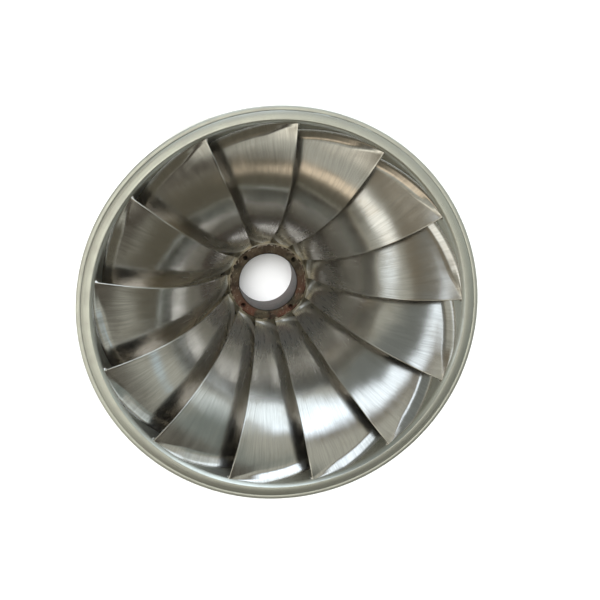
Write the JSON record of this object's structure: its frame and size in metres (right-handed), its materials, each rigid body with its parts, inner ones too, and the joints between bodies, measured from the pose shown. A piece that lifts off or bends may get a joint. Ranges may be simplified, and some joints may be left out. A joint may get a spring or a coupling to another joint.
{
  "type": "francis turbine runner",
  "caption": "Francis turbine runner: twisted blades welded between a crown with a bored hub and an outer band, turning radial inflow into axial discharge.",
  "frame": {"origin": "centre of the hub's back face, on the shaft axis", "axes": "+Z along the shaft axis from the crown to the discharge side; the first blade's trailing edge lies over +Y"},
  "size_m": [0.8566, 0.856, 0.432],
  "materials": {
    "polished_blade": "hand ground and polished",
    "ground_crown": "ground, brown-grey",
    "machined_band": "matt machined",
    "machined_ring": "fine machined",
    "rusty_boss": "machined steel with brown rust"
  },
  "bodies": {
    "root": {"hub": "rusty_boss", "crown": "ground_crown", "band": "machined_band", "band_wear_ring": "machined_ring", "crown_wear_ring": "machined_ring", "blade_01": "polished_blade", "blade_02": "polished_blade", "blade_03": "polished_blade", "blade_04": "polished_blade", "blade_05": "polished_blade", "blade_06": "polished_blade", "blade_07": "polished_blade", "blade_08": "polished_blade", "blade_09": "polished_blade", "blade_10": "polished_blade", "blade_11": "polished_blade", "blade_12": "polished_blade", "blade_13": "polished_blade"}
  },
  "joints": []
}
